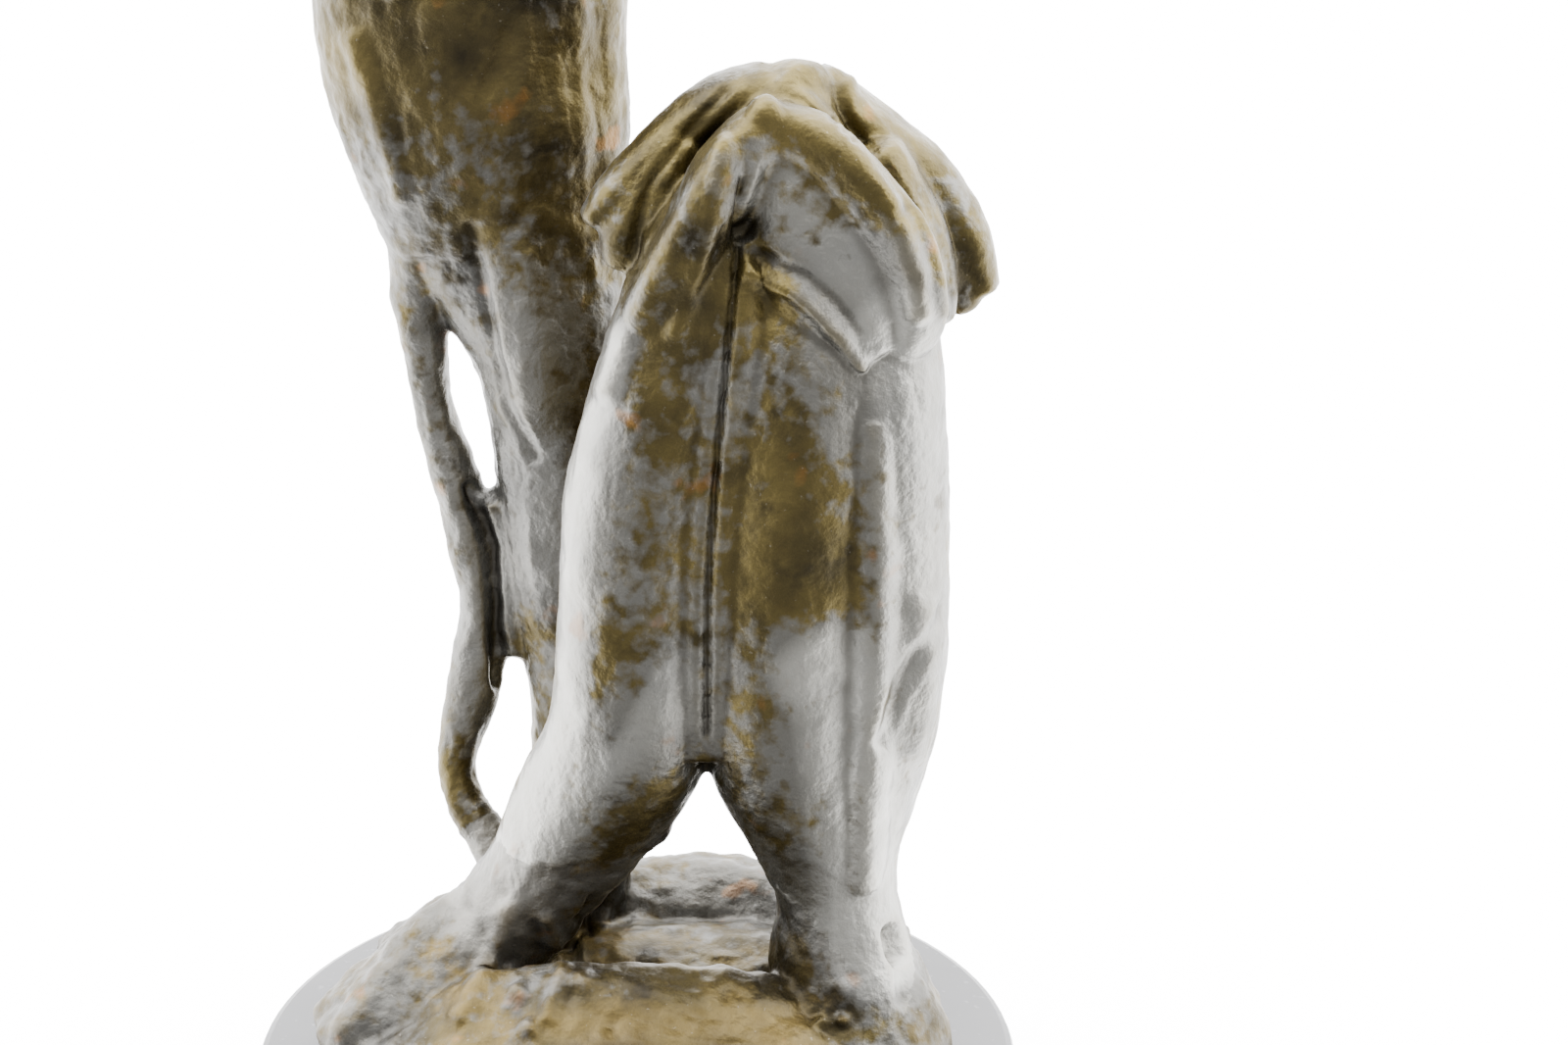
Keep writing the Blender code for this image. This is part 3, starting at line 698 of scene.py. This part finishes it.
# Colours of each patina (the grey film colour, made brighter, is also the painted sheen), where in the
# clouds its grey film starts (lower is more film), and its roughness
PATINAS = {
    "hound": {
        "dark": (0.022, 0.017, 0.007),
        "brown": (0.075, 0.057, 0.017),
        "gold": (0.15, 0.115, 0.035),
        "film_and_sheen": (0.155, 0.153, 0.143),
        "film_start": 0.465,
        "roughness": 0.38,
    },
    "willow": {
        "dark": (0.016, 0.012, 0.005),
        "brown": (0.060, 0.046, 0.016),
        "gold": (0.12, 0.092, 0.030),
        "film_and_sheen": (0.135, 0.133, 0.125),
        "film_start": 0.48,
        "roughness": 0.42,
    },
    "ground": {
        "dark": (0.016, 0.012, 0.005),
        "brown": (0.052, 0.039, 0.012),
        "gold": (0.13, 0.090, 0.024),
        "film_and_sheen": (0.105, 0.103, 0.096),
        "film_start": 0.465,
        "roughness": 0.48,
    },
}
RUST = (0.26, 0.11, 0.02)
DUST = (0.45, 0.42, 0.36)
# Painted sheen: how much brighter the grey film is painted where it is laid on most thickly
PAINTED_SHEEN_GAIN = 2.5
FILM_EDGE = 0.16


def mottled_metal(n, look, painted_film_and_sheen):
    """Brown metal with blotches and fine grain, gold where the film is rubbed off."""
    blotches = n.noise(scale=75.0, detail=9.0)
    mottle = n.ramp(blotches, (0.34, look["dark"]), (0.50, look["brown"]), (0.70, look["gold"]))
    grain = n.ramp(n.noise(scale=420.0, detail=6.0), (0.38, look["dark"]), (0.62, look["gold"]))
    mottle = n.mix(n.remap(n.noise(scale=140.0), (0.45, 0.65), (0.0, 0.45)), mottle, grain)
    return n.mix(n.remap(painted_film_and_sheen, (-0.5, -1.0), (0.0, 0.55)), mottle, look["gold"])


def add_film_and_sheen(n, look, painted_film_and_sheen, metal):
    """Cloudy grey film over the metal, where it is painted and by chance, with a ragged edge; where it is
    painted most thickly it is brightened into a painted sheen.
    """
    cloud = n.add(n.noise(scale=48.0, detail=9.0), n.remap(painted_film_and_sheen, (-1.0, 1.0), (-0.30, 0.30)))
    cloud = n.add(cloud, n.remap(n.noise(scale=450.0, detail=8.0), NOISE_BAND, (-0.13, 0.13)))
    cover = n.remap(cloud, (look["film_start"], look["film_start"] + FILM_EDGE), (0.0, 0.85))
    painted_sheen = tuple(PAINTED_SHEEN_GAIN * part for part in look["film_and_sheen"])
    film_and_sheen = n.mix(n.remap(painted_film_and_sheen, (0.5, 1.0), (0.0, 1.0)), look["film_and_sheen"], painted_sheen)
    return n.mix(cover, metal, film_and_sheen)


def bronze_material(name, look):
    """Patinated bronze: mottled metal under grey film with painted sheen, dark in hollows, gold on edges,
    rust and dust.
    """
    n = Nodes(name)
    painted_film_and_sheen = n.attribute("film_and_sheen")
    coloured = add_film_and_sheen(n, look, painted_film_and_sheen, mottled_metal(n, look, painted_film_and_sheen))
    cavity = n.attribute("cavity")
    coloured = n.mix(n.remap(cavity, (-0.70, -0.05), (0.8, 0.0)), coloured, look["dark"])
    coloured = n.mix(n.remap(cavity, (0.15, 0.7), (0.0, 0.35)), coloured, look["gold"])
    coloured = n.mix(n.remap(n.noise(scale=110.0, detail=3.0), (0.66, 0.72), (0.0, 0.35)), coloured, RUST)
    coloured = n.mix(n.remap(n.noise(scale=1600.0, detail=1.0), (0.74, 0.78), (0.0, 0.15)), coloured, DUST)
    n.colour(coloured)
    n.roughness(160.0, (look["roughness"] - 0.10, look["roughness"] + 0.12))
    n.bump(n.noise(scale=900.0, detail=6.0), strength=0.6, distance=0.4 * MM)
    n.set(metallic=0.85, coat_weight=0.15, coat_roughness=0.3)
    return n.material


def stone_material():
    """Polished dark grey stone with soft clouds and pale flecks."""
    n = Nodes("polished_stone")
    cloud = n.ramp(n.noise(scale=30.0, detail=8.0), (0.3, (0.06, 0.06, 0.065)), (0.7, (0.09, 0.09, 0.095)))
    flecks = n.remap(n.noise(scale=600.0, detail=2.0), (0.66, 0.72), (0.0, 0.4))
    n.colour(n.mix(flecks, cloud, (0.20, 0.20, 0.21)))
    n.roughness(200.0, (0.16, 0.26))
    n.bump(n.noise(scale=500.0, detail=3.0), strength=0.08, distance=0.1 * MM)
    return n.material


def felt_material():
    """Dark green pressed felt."""
    n = Nodes("felt_fibre")
    fibres = n.noise(scale=900.0, detail=8.0)
    n.colour(n.ramp(fibres, (0.3, (0.012, 0.03, 0.018)), (0.7, (0.035, 0.07, 0.045))))
    n.roughness(300.0, (0.9, 1.0))
    n.bump(n.noise(scale=2200.0, detail=8.0), strength=0.8, distance=0.4 * MM)
    return n.material


def metal_material(name, low, high, roughness):
    """Drawn or plated metal with fine lines round it."""
    n = Nodes(name)
    n.colour(n.ramp(n.noise(scale=400.0, detail=3.0, stretch=(1, 1, 6)), (0.3, low), (0.7, high)))
    n.roughness(300.0, (roughness - 0.08, roughness + 0.1))
    n.bump(n.noise(scale=1500.0, detail=2.0, stretch=(1, 1, 8)), strength=0.2, distance=0.1 * MM)
    n.set(metallic=1.0)
    return n.material


def dress(obj, material):
    """Gives the object its one material."""
    obj.data.materials.clear()
    obj.data.materials.append(material)


# ---- pieces ------------------------------------------------------------------------


def finish_bronze():
    """Puts the sculpted bronze in place of the CAD castings."""
    materials = {sort: bronze_material("patina_" + sort, look) for sort, look in PATINAS.items()}
    for node, piece in build_bronze().items():
        sort = sort_of(node)
        dress(piece, materials[sort])
        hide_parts(node)
        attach(piece, "root")


def finish_base():
    """The stone and the hidden metal parts keep their CAD shapes."""
    dress(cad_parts["stone_base"], stone_material())
    steel = metal_material("plated_steel", (0.42, 0.43, 0.45), (0.62, 0.62, 0.64), 0.34)
    brass = metal_material("drawn_brass", (0.38, 0.27, 0.10), (0.52, 0.38, 0.16), 0.38)
    for name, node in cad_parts.items():
        if name.startswith(("base_stud", "base_washer", "base_nut")):
            dress(node, steel)
        if name.startswith("pin_"):
            dress(node, brass)


FELT_SIDES = 240
FELT_INSET = 0.4 * MM
FELT_RUFFLE = 0.3 * MM
RUFFLES_ROUND = 40.0
RUFFLES_UP = 2000.0


def make_felt():
    """Felt with a slightly uneven, fibrous cut edge."""
    low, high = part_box("felt_pad")
    radius = (high.x - low.x) / 2
    bm = bmesh.new()
    layers = []
    for z in (low.z, (low.z + high.z) / 2, high.z):
        ring = []
        for k in range(FELT_SIDES):
            angle = 2 * math.pi * k / FELT_SIDES
            across = Vector((math.cos(angle), math.sin(angle), 0.0))
            spot = across * RUFFLES_ROUND + Vector((0.0, 0.0, z * RUFFLES_UP))
            reach = radius - FELT_INSET + FELT_RUFFLE * noise.noise(spot)
            ring.append(bm.verts.new((reach * across.x, reach * across.y, z)))
        layers.append(ring)
    for lower, upper in zip(layers, layers[1:]):
        join_rings(bm, upper, lower)
    bm.faces.new(list(reversed(layers[0])))
    bm.faces.new(layers[-1])
    mesh = bpy.data.meshes.new("felt_disc")
    bm.to_mesh(mesh)
    bm.free()
    felt = linked("felt_disc", mesh)
    dress(felt, felt_material())
    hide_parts("felt_pad")
    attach(felt, "root")


# ---- studio: metres ------------------------------------------------------------------

FLOOR_HALF = 4.0
FLOOR_COLOUR = (0.93, 0.93, 0.94, 1.0)
FLOOR_ROUGHNESS = 0.6
FLOOR_GLOW = 10.0

# Strength of the room's light, and where it changes with a direction's share along Y or up
ROOM_FRONT = 0.85
ROOM_BACK = 8.0
WALL_BAND = (-0.60, 0.15)
CEILING = 2.0
CEILING_BAND = (0.2, 0.9)

SOFTBOX_PLACES = {"key": (-0.6, -0.35, 0.9), "fill": (0.8, -0.1, 0.6)}
SOFTBOX_TARGET = (0, 0, 0.08)
SOFTBOX_SIZE = 0.6
SOFTBOX_WATTS = 3.0

WHITE = (1.0, 1.0, 1.0, 1.0)
SENSOR_MM = 36.0
NEAR_CLIP = 0.01


def make_floor():
    """A pale glowing light table, which the bronze doesn't mirror."""
    mesh = bpy.data.meshes.new("floor")
    corners = [(x * FLOOR_HALF, y * FLOOR_HALF, 0) for x, y in ((-1, -1), (1, -1), (1, 1), (-1, 1))]
    mesh.from_pydata(corners, [], [(0, 1, 2, 3)])
    floor = linked("floor", mesh)
    n = Nodes("floor_white")
    n.set(base_color=FLOOR_COLOUR, roughness=FLOOR_ROUGHNESS)
    n.set(emission_color=WHITE, emission_strength=FLOOR_GLOW)
    floor.data.materials.append(n.material)
    floor.visible_glossy = False
    floor.visible_diffuse = False


def room_gradient(tree, axis, band, result):
    """Light that changes smoothly with the direction's share along one axis."""
    ramp = tree.nodes.new("ShaderNodeMapRange")
    ramp.interpolation_type = "SMOOTHSTEP"
    ramp.inputs["From Min"].default_value = band[0]
    ramp.inputs["From Max"].default_value = band[1]
    ramp.inputs["To Min"].default_value = result[0]
    ramp.inputs["To Max"].default_value = result[1]
    tree.links.new(axis, ramp.inputs["Value"])
    return ramp.outputs["Result"]


def make_world():
    """White studio, bright behind and beside the object, softer overhead, dim in front of it."""
    world = bpy.data.worlds.new("studio")
    bpy.context.scene.world = world
    world.use_nodes = True
    tree = world.node_tree
    where = tree.nodes.new("ShaderNodeTexCoord")
    split = tree.nodes.new("ShaderNodeSeparateXYZ")
    tree.links.new(where.outputs["Generated"], split.inputs["Vector"])
    total = tree.nodes.new("ShaderNodeMath")
    total.operation = "ADD"
    walls = room_gradient(tree, split.outputs["Y"], WALL_BAND, (ROOM_FRONT, ROOM_BACK))
    ceiling = room_gradient(tree, split.outputs["Z"], CEILING_BAND, (0.0, CEILING))
    tree.links.new(walls, total.inputs[0])
    tree.links.new(ceiling, total.inputs[1])
    tree.links.new(total.outputs["Value"], tree.nodes["Background"].inputs["Strength"])
    tree.nodes["Background"].inputs["Color"].default_value = WHITE


def add_softbox(name, place):
    """A square area light aimed at the middle of the statuette."""
    light = bpy.data.lights.new(name, "AREA")
    light.shape = "SQUARE"
    light.size = SOFTBOX_SIZE
    light.energy = SOFTBOX_WATTS
    obj = linked(name, light)
    obj.location = place
    obj.rotation_mode = "QUATERNION"
    obj.rotation_quaternion = (Vector(SOFTBOX_TARGET) - Vector(place)).to_track_quat("-Z", "Y")


def make_camera():
    """The photo's viewpoint."""
    camera = bpy.data.cameras.new("photo_view")
    camera.lens = EYE_LENS
    camera.sensor_width = SENSOR_MM
    camera.clip_start = NEAR_CLIP
    obj = linked("photo_view", camera)
    obj.location = (EYE[0] * MM, EYE[1] * MM, (EYE[2] + STONE_TOP) * MM)
    obj.rotation_euler = (math.radians(90.0 - EYE_PITCH), 0.0, 0.0)
    bpy.context.scene.camera = obj


finish_bronze()
finish_base()
make_felt()
make_floor()
make_world()
for label, spot in SOFTBOX_PLACES.items():
    add_softbox(label, spot)
make_camera()
